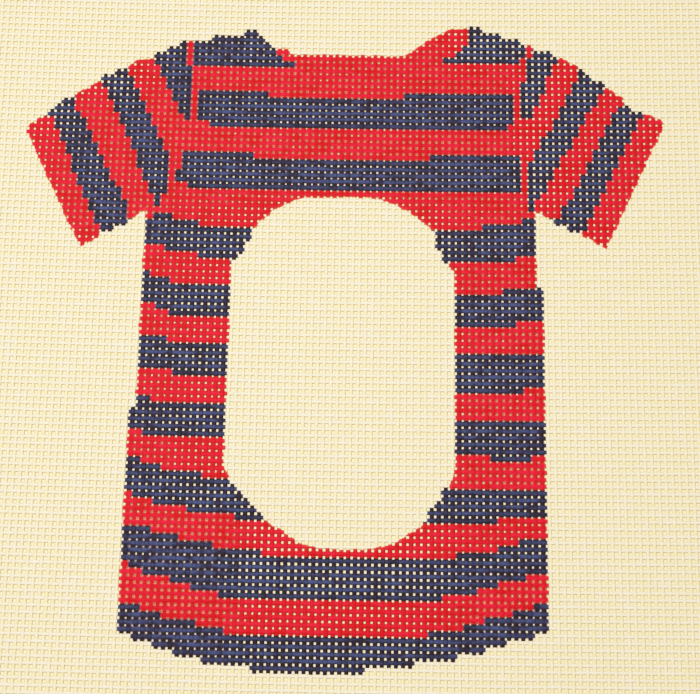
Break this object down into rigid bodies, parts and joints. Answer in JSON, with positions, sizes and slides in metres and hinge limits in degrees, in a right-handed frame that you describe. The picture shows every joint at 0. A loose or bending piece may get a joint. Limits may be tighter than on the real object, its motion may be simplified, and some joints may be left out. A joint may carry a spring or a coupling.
{
  "type": "needlepoint canvas panel",
  "caption": "Flat cut panel of open-weave mono needlepoint canvas, hand painted with a striped short-sleeved top around a blank rounded window, lying face up.",
  "frame": {"origin": "middle of the underside, on the surface that the panel lies on", "axes": "+X across the panel to the right of the painted figure, +Y up the panel towards the figure's neck, +Z out of the painted face"},
  "size_m": [0.2666, 0.2718, 0.001],
  "materials": {
    "canvas": "stiffened natural cotton threads, matt, with red and navy paint on the face"
  },
  "bodies": {
    "root": {"canvas_panel": "canvas"}
  },
  "joints": []
}
